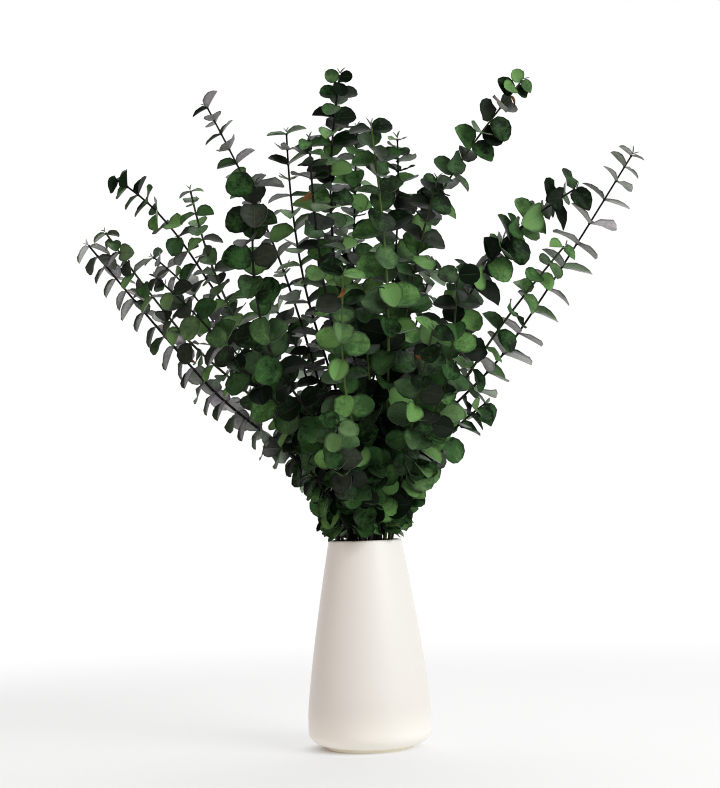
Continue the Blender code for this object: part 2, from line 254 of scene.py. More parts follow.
@dataclass(frozen=True)
class VaseGlaze:
    """Satin cream glaze over stoneware, with the bare clay of the foot below its edge, and painted
    light, the floor's bounce, that makes it paler towards the bottom.
    """

    cream: Colour = (0.785, 0.757, 0.708)
    warm: Colour = (0.760, 0.700, 0.620)
    # pale is painted light: the floor's bounce on the lower corner of the vase.
    pale: Colour = (0.925, 0.890, 0.815)
    clay: Colour = (0.950, 0.890, 0.740)
    roughness: float = 0.42
    cloud_scale: float = 9
    ring_scale: float = 40
    speck_scale: float = 900
    painted_bounce_between: Span = (0.045, 0.006)
    clay_between: Span = (0.0040, 0.0033)

    def material(self) -> Finish:
        """Builds the glaze.

        Returns:
            The material.
        """
        paint = Paint("vase_glaze")
        height = paint.value(paint.node("SeparateXYZ", {}, {0: paint.place()}), "Z")
        cloud = paint.noise(self.cloud_scale, 2)
        rings = paint.noise(self.ring_scale, 2, (0.15, 0.15, 6))
        speck = paint.noise(self.speck_scale, 2)
        tint = paint.mix(self.cream, self.warm, cloud.step(0.42, 0.75) * 0.35)
        # Painted light: the glaze turns paler towards the bottom, as if lit by light bounced from
        # the floor.
        tint = paint.mix(tint, self.pale, height.step(*self.painted_bounce_between))
        bare = height.step(*self.clay_between)
        tint = paint.mix(tint, self.clay, bare)
        tint = paint.mix(tint, self.warm, speck.step(0.66, 0.74) * 0.3)
        paint.bump(rings * 0.5 + cloud * 0.3 + speck * 0.1, 0.0004, 0.35)
        rough = self.roughness + cloud * 0.08 + bare * 0.35
        gloss = {"Coat_Weight": 0.15, "Coat_Roughness": 0.35, "Specular_IOR_Level": 0.45}
        return paint.wear(tint, rough, **gloss)


@dataclass(frozen=True)
class LeafSkin:
    """One side of the leaves: its colours from dark to bright leaves, its ribs and its sheen, with
    painted light and shade on each blade.
    """

    name: str
    dark: Colour
    middle: Colour
    bright: Colour
    rib: Colour
    rib_share: float
    dusky: Colour
    withered: Colour = (0.150, 0.070, 0.026)
    roughness: float = 0.42
    rib_width: float = 0.030
    side_ribs: float = 7.0
    sheen: float = 0.065
    cloud_scale: float = 75
    mottle_scale: float = 320
    fine_scale: float = 1300

    def material(self) -> Finish:
        """Builds this side of the leaves; each leaf's tone and age come with its mesh.

        Returns:
            The material.
        """
        paint = Paint(self.name)
        uv = paint.node("UVMap", {"uv_map": "UVMap"}, {}).outputs[0]
        parts = paint.node("SeparateXYZ", {}, {0: uv})
        along, across = paint.value(parts, "X"), paint.value(parts, "Y")
        off_rib = (across - 0.5).size() * 2
        mottle = paint.noise(self.mottle_scale, 3)
        fine = paint.noise(self.fine_scale, 2)
        # Painted light and shade: the cloud noise lays soft lighter and darker patches across each
        # blade.
        cloud = paint.noise(self.cloud_scale, 1)
        level = paint.attribute("tone") + (cloud - 0.5) * 0.9
        level = level + (mottle - 0.5) * 0.6 + (fine - 0.5) * 0.6
        tint = paint.mix(self.dark, self.middle, level.step(0.0, 0.5))
        tint = paint.mix(tint, self.bright, level.step(0.5, 1.05))
        tint = paint.mix(tint, self.dusky, paint.attribute("dusk") * (mottle * 0.8 + 0.4))
        # Painted shade: each blade darkens at its rim and tip, where neighbouring leaves meet it,
        # and towards its base, under the leaves round the stem.
        tint = paint.mix(tint, self.dark, (off_rib.step(0.72, 1.0) + along.step(0.92, 1.0)) * 0.6)
        tint = paint.mix(tint, self.dark, along.step(0.35, 0.0) * 0.45)
        fan = ((along * 1.15 - off_rib * 0.42) * (self.side_ribs * math.tau)).wave()
        side_rib = fan.step(0.86, 1.0) * off_rib.step(0.02, 0.12) * off_rib.step(0.98, 0.7)
        main_rib = off_rib.step(self.rib_width * 2, self.rib_width * 0.6)
        ribs = main_rib * along.step(1.0, 0.8) + side_rib * 0.28
        tint = paint.mix(tint, self.rib, ribs * self.rib_share)
        age = paint.attribute("withered")
        rust = (age * 1.4 + (mottle - 0.5) * 0.5).step(0.35, 0.9)
        tint = paint.mix(tint, self.withered, rust)
        paint.bump(ribs * 0.6 + mottle * 0.35 + fine * 0.12, 0.0005, 0.6)
        rough = self.roughness + (mottle - 0.5) * 0.22 + rust * 0.2
        return paint.wear(tint, rough, Specular_IOR_Level=self.sheen)


@dataclass(frozen=True)
class Bark:
    """Stem skin: woody brown at the foot, dark farther up, and green on some branches."""

    wood: Colour = (0.060, 0.045, 0.045)
    dusk: Colour = (0.006, 0.005, 0.005)
    green: Colour = (0.085, 0.140, 0.032)
    roughness: float = 0.6
    streak_scale: float = 420
    patch_scale: float = 90

    def material(self) -> Finish:
        """Builds the bark; the mesh says how green the stem is and how far up a point lies.

        Returns:
            The material.
        """
        paint = Paint("stem_bark")
        green, run = paint.attribute("green"), paint.attribute("run")
        streak = paint.noise(self.streak_scale, 3, (1, 1, 0.12))
        patch = paint.noise(self.patch_scale, 2)
        tint = paint.mix(self.wood, self.dusk, run.step(0.15, 0.65))
        tint = paint.mix(tint, self.green, green * (patch * 0.5 + 0.7))
        tint = paint.mix(tint, self.wood, streak.step(0.55, 0.8) * 0.45)
        paint.bump(streak * 0.8 + patch * 0.2, 0.0003, 0.5)
        rough = self.roughness + (streak - 0.5) * 0.2
        return paint.wear(tint, rough, Specular_IOR_Level=0.15)


LEAF_UPPER = LeafSkin(
    "leaf_upper",
    dark=(0.0015, 0.0055, 0.0015),
    middle=(0.032, 0.088, 0.024),
    bright=(0.130, 0.270, 0.078),
    rib=(0.080, 0.170, 0.045),
    rib_share=0.10,
    dusky=(0.070, 0.080, 0.062),
)
LEAF_UNDER = LeafSkin(
    "leaf_underside",
    dark=(0.008, 0.018, 0.007),
    middle=(0.072, 0.115, 0.060),
    bright=(0.260, 0.365, 0.230),
    rib=(0.200, 0.210, 0.180),
    rib_share=0.15,
    dusky=(0.640, 0.590, 0.635),
    roughness=0.5,
    sheen=0.06,
)


# ---------------------------------------------------------------- modelling helpers


def deselect() -> None:
    """Leaves nothing selected."""
    bpy.ops.object.select_all(action="DESELECT")


def pick(test: Callable[[Vector], bool]) -> None:
    """Selects the vertices of the mesh in edit mode whose place passes a test.

    Args:
        test: Says of a place if its vertex is wanted.
    """
    soft = bmesh.from_edit_mesh(bpy.context.edit_object.data)
    for vert in soft.verts:
        vert.select = test(vert.co)
    soft.select_flush(True)
    soft.select_flush(False)
    bmesh.update_edit_mesh(bpy.context.edit_object.data)


def paint_number(mesh: bpy.types.Mesh, name: str, numbers: Iterable[float] | float) -> None:
    """Writes a number to every vertex of a mesh.

    Args:
        mesh: The mesh.
        name: What the number is called in the finishes.
        numbers: One number for each vertex, or one for all.
    """
    layer = mesh.attributes.new(name, "FLOAT", "POINT")
    values = np.broadcast_to(np.asarray(numbers, np.float32), len(mesh.vertices))
    layer.data.foreach_set("value", np.ascontiguousarray(values))


def unit(vector: Vec) -> Vec:
    """The vector at length one."""
    return vector / np.linalg.norm(vector)


def square_to(vector: Vec, axis: Vec) -> Vec:
    """What is left of the vector square to a unit axis, at length one."""
    return unit(vector - np.dot(vector, axis) * axis)


def turned(vector: Vec, axis: Vec, angle: float) -> Vec:
    """The vector turned about a unit axis.

    Args:
        vector: What is turned.
        axis: A unit vector.
        angle: In radians.

    Returns:
        The turned vector.
    """
    return (
        vector * np.cos(angle)
        + np.cross(axis, vector) * np.sin(angle)
        + axis * np.dot(axis, vector) * (1 - np.cos(angle))
    )


# ---------------------------------------------------------------- leaf forms


@dataclass(frozen=True)
class LeafForm:
    """Outline and curvature of one leaf form, in leaf lengths and degrees."""

    name: str
    width: float = 0.92
    widest: float = 0.46
    tip: float = 0.55
    base: float = 0.48
    cup: float = 0.10
    fold: float = 0.0
    arch: float = 0.05
    twist: float = 0.0
    wave: float = 0.015

    def half_width(self, u: float) -> float:
        """Half the blade's width.

        Args:
            u: How far along the blade, from 0 at the stem to 1 at the tip.

        Returns:
            Half the width, in leaf lengths.
        """
        s = u ** (math.log(0.5) / math.log(self.widest))
        roundness = self.base + (self.tip - self.base) * u
        return self.width / 2 * max(4 * s * (1 - s), 0.0) ** roundness


# name, width, widest, tip, base, cup, fold, arch, twist, wave
LEAF_FORMS = (
    LeafForm("round", 0.98, 0.50, 0.48, 0.44, 0.10, 0.04, 0.06),
    LeafForm("cupped", 0.94, 0.48, 0.50, 0.46, 0.24, 0.04, 0.04),
    LeafForm("heart", 1.00, 0.42, 0.58, 0.40, 0.12, 0.06, 0.12, -10),
    LeafForm("folded", 0.90, 0.46, 0.56, 0.48, 0.06, 0.26, 0.06, 8),
    LeafForm("drooping", 0.92, 0.47, 0.54, 0.46, 0.08, 0.08, 0.26, -12, 0.03),
    LeafForm("twisted", 0.90, 0.48, 0.58, 0.46, 0.12, 0.08, 0.12, 42, 0.04),
    LeafForm("pointed", 0.80, 0.42, 0.76, 0.46, 0.10, 0.10, 0.14, 12, 0.03),
    LeafForm("wavy", 0.96, 0.50, 0.50, 0.43, 0.04, 0.02, 0.05, -14, 0.09),
)
FORM_SHARES = (0.20, 0.17, 0.14, 0.10, 0.13, 0.09, 0.08, 0.09)
DRY_FORM = LeafForm("dry", 0.42, 0.42, 0.85, 0.55, 0.16, 0.24, 0.34, 55, 0.05)
BUD_FORM = LeafForm("bud", 0.46, 0.45, 0.70, 0.55, 0.10, 0.14, 0.06, wave=0.0)


@dataclass
class LeafMould:
    """Models each leaf form once, one leaf long along +X with its upper side to +Z."""

    skins: list[Finish]
    columns: int = 6
    rows: int = 4
    thickness: float = 0.013
    neck_width: float = 0.035
    near: float = 0.004
    crease: float = math.radians(50)
    ripples: float = 11
    masters: dict[str, bpy.types.Mesh] = field(default_factory=dict)

    def cast(self, form: LeafForm) -> bpy.types.Mesh:
        """A fresh copy of a leaf form's mesh, which is modelled on first use.

        Args:
            form: The leaf form.

        Returns:
            The copy.
        """
        if form.name not in self.masters:
            self.masters[form.name] = self._model(form)
        return self.masters[form.name].copy()

    def _model(self, form: LeafForm) -> bpy.types.Mesh:
        """Shapes a flat grid into a leaf, column by column, and gives it its thickness.

        Args:
            form: The outline and curvature.

        Returns:
            The finished leaf, upper side in slot 0, underside and rim in slot 1.
        """
        deselect()
        bpy.ops.mesh.primitive_grid_add(
            x_subdivisions=self.columns, y_subdivisions=self.rows, size=1, location=(0.5, 0, 0)
        )
        blade = bpy.context.object
        blade.name = "leaf_" + form.name
        bpy.ops.object.transform_apply(location=True, rotation=False, scale=False)
        bpy.ops.object.mode_set(mode="EDIT")
        for column in range(self.columns + 1):
            self._shape_column(form, column / self.columns)
        bpy.ops.object.mode_set(mode="OBJECT")
        for skin in self.skins:
            blade.data.materials.append(skin)
        wall = blade.modifiers.new("thickness", "SOLIDIFY")
        wall.thickness = self.thickness
        wall.offset = -1
        wall.material_offset = wall.material_offset_rim = 1
        bpy.ops.object.modifier_apply(modifier=wall.name)
        bpy.ops.object.shade_smooth_by_angle(angle=self.crease)
        mesh = blade.data
        bpy.data.objects.remove(blade)
        return mesh

    def _shape_column(self, form: LeafForm, start: float) -> None:
        """Moves one column of the blade to its place, narrows it and curves it.

        Args:
            form: The outline and curvature.
            start: Where the column lies on the flat grid, from 0 to 1.
        """
        u = (1 - math.cos(math.pi * start)) / 2
        half = max(form.half_width(u), self.neck_width / 2)
        pick(lambda p: abs(p.x - start) < self.near)
        bpy.ops.transform.resize(value=(1, half * 2, 1), center_override=(start, 0, 0))
        bpy.ops.transform.translate(value=(u - start, 0, form.arch * (0.3 * u - u**2)))
        steps = self.rows // 2
        for side in (-1, 1):
            for share in (row / steps for row in range(1, steps + 1)):
                y = side * half * share
                pick(lambda p: abs(p.x - u) < self.near and abs(p.y - y) < half * 0.1)
                ripple = form.wave * math.sin(u * self.ripples + side * 1.3) * share
                lift = (form.cup * share**2 + form.fold * share + ripple) * half * 2
                bpy.ops.transform.translate(value=(0, 0, lift))
        if form.twist:
            pick(lambda p: abs(p.x - u) < self.near)
            turn = math.radians(form.twist) * u
            bpy.ops.transform.rotate(value=turn, orient_axis="X", center_override=(u, 0, 0))


# ---------------------------------------------------------------- the bunch


class StemTint(Enum):
    """How green a stem is."""

    DARK = 0.0
    BROWN = 0.25
    GREEN = 0.85


@dataclass(frozen=True)
class Ring:
    """A ring of stems: its smallest radius, how far its stems lean, and where the first stands."""

    radius: float
    lean: float
    start: float


class Stand(Enum):
    """The two rings in which the stems stand in the vase, all leaning the same way round."""

    OUTER = Ring(0.0168, 0.205, -3.1)
    INNER = Ring(0.0096, 0.125, -3.0)


@dataclass(frozen=True)
class BranchPlan:
    """One cut branch: the points that its stem passes through, and the habit of its leaves.

    The middle point lies half-way along the free stem. leaf is the length of a full-grown leaf,
    young the size of the leaves at the tip, bare the share of the free stem without leaves, facing
    how far leaves turn towards the outside of the bunch, hang how far they droop, twist the angle
    of the first pair, turn the angle from pair to pair in quarter turns, pitch the distance from
    pair to pair in leaf lengths, and roll how far a blade may turn about its own length. tone runs
    from dark leaves to bright ones, and dusk from green ones to pale purplish grey ones.
    """

    name: str
    stand: Stand
    middle: Place
    tip: Place
    leaf: float
    young: float = 0.6
    bare: float = 0.02
    facing: float = 0.3
    hang: float = 0.0
    twist: float = 0.0
    turn: float = 1.0
    pitch: float = 0.72
    roll: float = 0.55
    tone: float = 0.45
    dusk: float = 0.05
    tint: StemTint = StemTint.DARK


@dataclass(frozen=True)
class Leaf:
    """One leaf: where it grows, unit vectors along and square to its blade, its length and age."""

    base: Vec
    along: Vec
    normal: Vec
    length: float
    age: float
    stem_radius: float


BRANCHES = (
    # near side
    BranchPlan(
        "front_left_high", Stand.OUTER, (-0.080, -0.120, 0.370), (-0.085, -0.190, 0.505), 0.0255,
        young=0.9, facing=0.8, tone=0.25, dusk=0.1,
    ),
    BranchPlan(
        "front_centre_high", Stand.INNER, (0.027, -0.080, 0.400), (0.016, -0.120, 0.565), 0.0265,
        young=0.8, facing=0.6, pitch=0.62, tone=0.55, tint=StemTint.GREEN,
    ),
    BranchPlan(
        "front_left_inner", Stand.INNER, (-0.030, -0.070, 0.425), (-0.040, -0.100, 0.560), 0.0235,
        twist=1.1, tone=0.4, dusk=0.1,
    ),
    BranchPlan(
        "front_right_high", Stand.OUTER, (0.072, -0.095, 0.320), (0.088, -0.140, 0.430), 0.023,
        young=0.8, facing=0.6, tone=0.45, tint=StemTint.BROWN,
    ),
    BranchPlan(
        "front_centre_low", Stand.OUTER, (-0.012, -0.110, 0.320), (-0.012, -0.170, 0.430), 0.0225,
        young=0.9, facing=0.7, tone=0.6, tint=StemTint.GREEN,
    ),
    BranchPlan(
        "front_right_low", Stand.OUTER, (0.045, -0.100, 0.300), (0.064, -0.160, 0.380), 0.022,
        young=0.9, facing=0.7, twist=0.1, tone=0.4, dusk=0.15, tint=StemTint.BROWN,
    ),
    BranchPlan(
        "front_left_low", Stand.OUTER, (-0.110, -0.090, 0.360), (-0.178, -0.130, 0.435), 0.023,
        facing=0.5, hang=0.3, tone=0.3, dusk=0.2,
    ),
    BranchPlan(
        "front_lowest", Stand.OUTER, (-0.020, -0.085, 0.260), (-0.020, -0.150, 0.300), 0.021,
        young=0.9, facing=0.8, tone=0.45, dusk=0.2,
    ),
    BranchPlan(
        "near_right_lowest", Stand.OUTER, (0.050, -0.065, 0.270), (0.070, -0.120, 0.320), 0.0215,
        young=0.9, facing=0.7, tone=0.55, tint=StemTint.BROWN,
    ),
    # left side
    BranchPlan(
        "far_left_lowest", Stand.OUTER, (-0.147, -0.010, 0.348), (-0.253, -0.020, 0.480), 0.022,
        young=0.85, facing=0.0, turn=0.03, hang=1.0, pitch=0.65, roll=0.2, tone=0.5, dusk=0.75,
    ),
    BranchPlan(
        "far_left_high", Stand.OUTER, (-0.152, 0.020, 0.460), (-0.233, 0.040, 0.552), 0.0225,
        young=0.7, facing=0.6, hang=0.2, twist=0.7, tone=0.5,
    ),
    BranchPlan(
        "far_left_middle", Stand.OUTER, (-0.165, -0.040, 0.393), (-0.230, -0.070, 0.485), 0.0195,
        young=0.7, hang=0.5, tone=0.4, dusk=0.35, tint=StemTint.BROWN,
    ),
    BranchPlan(
        "left_dark", Stand.INNER, (-0.067, 0.050, 0.442), (-0.147, 0.090, 0.632), 0.0215,
        young=0.9, pitch=0.8, roll=0.3, tone=0.3, dusk=0.4,
    ),
    BranchPlan(
        "left_middle", Stand.INNER, (-0.115, -0.040, 0.404), (-0.152, -0.060, 0.523), 0.02,
        young=0.65, hang=0.2, roll=0.35, tone=0.5, dusk=0.3, tint=StemTint.BROWN,
    ),
    BranchPlan(
        "left_behind", Stand.OUTER, (-0.140, 0.085, 0.406), (-0.210, 0.130, 0.487), 0.0205,
        young=0.7, hang=0.3, twist=0.5, tone=0.35, dusk=0.4,
    ),
    # centre
    BranchPlan(
        "centre_left_high", Stand.INNER, (-0.051, -0.010, 0.442), (-0.063, -0.030, 0.580), 0.024,
        young=0.85, facing=0.15, roll=0.25, tone=0.55, dusk=0.3,
    ),
    BranchPlan(
        "tallest", Stand.INNER, (-0.022, -0.020, 0.470), (-0.011, -0.040, 0.632), 0.0225,
        young=0.6, facing=0.9, pitch=0.55, tone=0.2,
    ),
    BranchPlan(
        "centre_thin", Stand.INNER, (-0.003, 0.095, 0.484), (0.004, 0.140, 0.617), 0.022,
        young=0.5, facing=0.7, twist=0.2, pitch=0.6, roll=0.3, tone=0.35,
    ),
    BranchPlan(
        "centre_right_high", Stand.INNER, (0.033, 0.020, 0.434), (0.043, 0.040, 0.585), 0.024,
        twist=0.9, pitch=0.6, tone=0.4,
    ),
    BranchPlan(
        "centre_middle", Stand.OUTER, (0.010, -0.050, 0.325), (0.005, -0.075, 0.425), 0.0235,
        young=0.9, facing=0.6, tone=0.55, tint=StemTint.GREEN,
    ),
    BranchPlan(
        "right_inner", Stand.INNER, (0.043, -0.040, 0.399), (0.076, -0.060, 0.526), 0.0245,
        facing=0.4, twist=0.5, tone=0.45, tint=StemTint.BROWN,
    ),
    # right side
    BranchPlan(
        "upper_right", Stand.INNER, (0.043, -0.010, 0.445), (0.161, -0.030, 0.624), 0.024,
        young=0.55, facing=1.2, pitch=0.66, roll=0.35, tone=0.38, tint=StemTint.BROWN,
    ),
    BranchPlan(
        "far_right", Stand.OUTER, (0.144, -0.010, 0.377), (0.259, -0.045, 0.547), 0.027,
        young=0.5, facing=0.0, turn=0.03, pitch=0.95, roll=0.2, tone=0.7, dusk=0.7,
    ),
    BranchPlan(
        "right_middle", Stand.OUTER, (0.106, -0.030, 0.424), (0.205, -0.050, 0.516), 0.0265,
        young=0.85, facing=0.9, pitch=0.52, tone=0.38,
    ),
    BranchPlan(
        "right_behind", Stand.INNER, (0.090, 0.070, 0.415), (0.196, 0.110, 0.526), 0.023,
        facing=0.7, twist=0.2, tone=0.35, dusk=0.3,
    ),
    BranchPlan(
        "right_low", Stand.OUTER, (0.103, -0.035, 0.350), (0.193, -0.050, 0.463), 0.023,
        young=0.75, facing=0.5, hang=0.4, twist=0.9, pitch=0.9, tone=0.7, tint=StemTint.BROWN,
    ),
    BranchPlan(
        "right_lowest", Stand.OUTER, (0.075, -0.014, 0.285), (0.120, 0.020, 0.322), 0.025,
        young=0.8, facing=0.6, hang=0.2, tone=0.75,
    ),
    # far side
    BranchPlan(
        "back_centre", Stand.OUTER, (-0.009, 0.120, 0.400), (-0.012, 0.200, 0.520), 0.024,
        facing=0.5, tone=0.4,
    ),
    BranchPlan(
        "back_left", Stand.OUTER, (-0.061, 0.115, 0.380), (-0.109, 0.190, 0.456), 0.024,
        facing=0.5, twist=0.7, tone=0.4,
    ),
    BranchPlan(
        "back_right", Stand.OUTER, (0.052, 0.115, 0.390), (0.080, 0.190, 0.480), 0.024,
        facing=0.5, twist=0.1, tone=0.45, tint=StemTint.BROWN,
    ),
    BranchPlan(
        "back_right_low", Stand.OUTER, (0.075, 0.090, 0.340), (0.118, 0.150, 0.385), 0.024,
        facing=0.5, hang=0.2, tone=0.4,
    ),
    BranchPlan(
        "back_left_low", Stand.OUTER, (-0.071, 0.090, 0.330), (-0.149, 0.145, 0.411), 0.024,
        facing=0.5, hang=0.2, tone=0.4,
    ),
)


@dataclass(frozen=True)
class StemShape:
    """The run of the stems: through the vase, out of its neck and on to their tips."""

    foot_z: float = 0.0085
    neck_z: float = 0.2
    waist_z: float = 0.1
    foot_radius: float = 0.0018
    tip_radius: float = 0.0009
    turns_after: float = 0.35
    steps: int = 10

    def line(self, stand: Stand, angle: float, z: float) -> Vec:
        """The point at height z on the straight part of a stem.

        Args:
            stand: The stem's ring.
            angle: Its place in the ring.
            z: The height.

        Returns:
            The point.
        """
        ring = stand.value
        run = (z - self.waist_z) * ring.lean
        x = ring.radius * np.cos(angle) - run * np.sin(angle)
        y = ring.radius * np.sin(angle) + run * np.cos(angle)
        return np.array([x, y, z])

    def radius(self, share: float | Vec) -> float | Vec:
        """Radius of a stem at this share of its whole length, from its foot."""
        return self.foot_radius + (self.tip_radius - self.foot_radius) * share

    def free_course(self, plan: BranchPlan, angle: float, steps: int) -> Vec:
        """Points from the vase's neck to the tip: straight on out, then through the middle point.

        Args:
            plan: The branch.
            angle: Its angle at the waist of its ring.
            steps: How many straight lengths to make of it.

        Returns:
            The points, one more than the steps.
        """
        foot, neck = (self.line(plan.stand, angle, z) for z in (self.foot_z, self.neck_z))
        middle, tip = np.array(plan.middle), np.array(plan.tip)
        first = np.linalg.norm(middle - neck)
        leaving = unit(unit(neck - foot) + self.turns_after * unit(middle - neck)) * first
        through = (tip - neck) / 2
        ending = 1.5 * (tip - middle) - 0.5 * through
        ts = np.linspace(0, 1, steps // 2 + 1)
        lower = [hermite(neck, middle, leaving, through, t) for t in ts]
        upper = [hermite(middle, tip, through, ending, t) for t in ts[1:]]
        return np.array(lower + upper)

    def whole_course(self, plan: BranchPlan, angle: float, steps: int) -> Vec:
        """The free course with the foot of the stem before it."""
        foot = self.line(plan.stand, angle, self.foot_z)
        return np.vstack([foot, self.free_course(plan, angle, steps)])


def hermite(start: Vec, end: Vec, leaving: Vec, arriving: Vec, t: float) -> Vec:
    """A cubic from start to end, t from 0 to 1, with its speed at either end.

    Args:
        start: Its first point.
        end: Its last point.
        leaving: Its speed at the start.
        arriving: Its speed at the end.
        t: How far along, from 0 to 1.

    Returns:
        The point at t.
    """
    return (
        (2 * t**3 - 3 * t**2 + 1) * start
        + (t**3 - 2 * t**2 + t) * leaving
        + (3 * t**2 - 2 * t**3) * end
        + (t**3 - t**2) * arriving
    )


def run_of(points: Vec) -> Vec:
    """How far along a course each of its points lies."""
    return np.concatenate([[0], np.cumsum(np.linalg.norm(np.diff(points, axis=0), axis=1))])


def point_at(course: Vec, run: Vec, places: float | Vec) -> Vec:
    """The points of a course at these distances from its start."""
    return np.stack([np.interp(places, run, course[:, k]) for k in range(3)], axis=-1)


def disc_distance(points: Vec, centre: Vec, normal: Vec, radius: float) -> Vec:
    """Distance from each point to a flat disc.

    Args:
        points: The points.
        centre: The disc's centre.
        normal: A unit vector square to it.
        radius: Its radius.

    Returns:
        One distance for each point.
    """
    away = points - centre
    height = np.sum(away * normal, axis=-1)
    flat = np.linalg.norm(away - height[..., None] * normal, axis=-1)
    return np.hypot(height, np.maximum(flat - radius, 0))


@dataclass
class Room:
    """What space is taken: every stem, as points and radii by name, and the leaves placed so far.

    No leaf comes below the floor, except that a leaf outside the lip's radius may overhang it.
    """

    stems: dict[str, tuple[Vec, Vec]]
    floor: float
    lip: float
    overhang: float = 0.0
    leaf_clearance: float = 0.0016
    stem_clearance: float = 0.0014
    rim_points: int = 10
    own_reach: float = 0.006
    stem_reach: float = 0.01
    same_node: float = 0.001
    backing: Place = (0.3, 0.5, 0.8)

    def __post_init__(self) -> None:
        """Lines up the points of all stems, and starts with no leaves."""
        self.stem_points = np.concatenate([points for points, _ in self.stems.values()])
        self.stem_radii = np.concatenate([radii for _, radii in self.stems.values()])
        counts = [len(radii) for _, radii in self.stems.values()]
        self.stem_names = np.repeat(list(self.stems), counts)
        self.centres, self.normals = np.empty((0, 3)), np.empty((0, 3))
        self.nodes, self.radii = np.empty((0, 3)), np.empty(0)

    def disc(self, leaf: Leaf) -> tuple[Vec, Vec, float]:
        """Centre, normal and radius of a leaf's disc."""
        return leaf.base + leaf.along * leaf.length / 2, leaf.normal, leaf.length / 2

    def outline(self, centre: Vec, normal: Vec, along: Vec, radius: float) -> Vec:
        """The disc's centre and points on two circles of it.

        Args:
            centre: The disc's centre.
            normal: A unit vector square to it.
            along: A unit vector in it.
            radius: Its radius.

        Returns:
            The points.
        """
        across = np.cross(normal, along)
        turn = np.linspace(0, 2 * np.pi, self.rim_points, endpoint=False)[:, None]
        rim = np.cos(turn) * along + np.sin(turn) * across
        return np.concatenate([[centre], centre + rim * radius, centre + rim * radius * 0.5])

    def fits(self, leaf: Leaf, branch_name: str) -> bool:
        """True if the leaf stays clear of the vase, of every stem and of the other leaves.

        Args:
            leaf: The leaf to try.
            branch_name: The branch that it grows on.

        Returns:
            Whether there is room.
        """
        centre, normal, radius = self.disc(leaf)
        outline = self.outline(centre, normal, leaf.along, radius)
        beyond = np.hypot(outline[:, 0], outline[:, 1]) > self.lip
        if (outline[:, 2] < self.floor - self.overhang * beyond).any():
            return False
        near = np.linalg.norm(self.stem_points - centre, axis=1) < radius + self.stem_reach
        from_base = np.linalg.norm(self.stem_points - leaf.base, axis=1)
        near &= ~((self.stem_names == branch_name) & (from_base < self.own_reach))
        if near.any():
            apart = disc_distance(self.stem_points[near], centre, normal, radius)
            if (apart < self.stem_radii[near] + self.stem_clearance).any():
                return False
        reach = self.radii + radius + self.leaf_clearance
        others = np.linalg.norm(self.centres - centre, axis=1) < reach
        others &= np.linalg.norm(self.nodes - leaf.base, axis=1) > self.same_node
        for k in np.flatnonzero(others):
            other = self.centres[k], self.normals[k], self.radii[k]
            if disc_distance(outline, *other).min() < self.leaf_clearance:
                return False
            across = unit(np.cross(other[1], unit(np.array(self.backing))))
            back = self.outline(other[0], other[1], np.cross(across, other[1]), other[2])
            if disc_distance(back, centre, normal, radius).min() < self.leaf_clearance:
                return False
        return True

    def take(self, leaf: Leaf) -> None:
        """Marks the leaf's space as taken.

        Args:
            leaf: The leaf.
        """
        centre, normal, radius = self.disc(leaf)
        self.centres = np.vstack([self.centres, centre])
        self.normals = np.vstack([self.normals, normal])
        self.radii = np.append(self.radii, radius)
        self.nodes = np.vstack([self.nodes, leaf.base])


@dataclass(frozen=True)
class Node:
    """A place on a stem where leaves grow: its point, and the stem's direction, radius and age."""

    base: Vec
    tangent: Vec
    radius: float
    age: float


@dataclass
class Growth:
    """What the leaves of one branch grow from: its plan, its free stem, free room and chances."""

    plan: BranchPlan
    course: Vec
    stem: StemShape
    room: Room
    chance: Chance
    beside: float = 0.002

    def __post_init__(self) -> None:
        """Measures the free stem."""
        self.run = run_of(self.course)
        self.total = self.run[-1]

    def node(self, place: float) -> Node:
        """The node at this distance along the free stem.

        Args:
            place: The distance from the neck of the vase.

        Returns:
            The node.
        """
        inside = self.stem.neck_z - self.stem.foot_z
        radius = self.stem.radius((inside + place) / (inside + self.total))
        ahead = point_at(self.course, self.run, min(place + self.beside, self.total))
        tangent = unit(ahead - point_at(self.course, self.run, place - self.beside))
        return Node(point_at(self.course, self.run, place), tangent, radius, 1 - place / self.total)

    def settle(self, leaves: Iterable[Leaf]) -> list[Leaf]:
        """The first of these leaves for which there is room, which it takes, or none of them.

        Args:
            leaves: The leaves to try, in order.

        Returns:
            A list of that one leaf, or an empty list.
        """
        for leaf in leaves:
            if self.room.fits(leaf, self.plan.name):
                self.room.take(leaf)
                return [leaf]
        return []


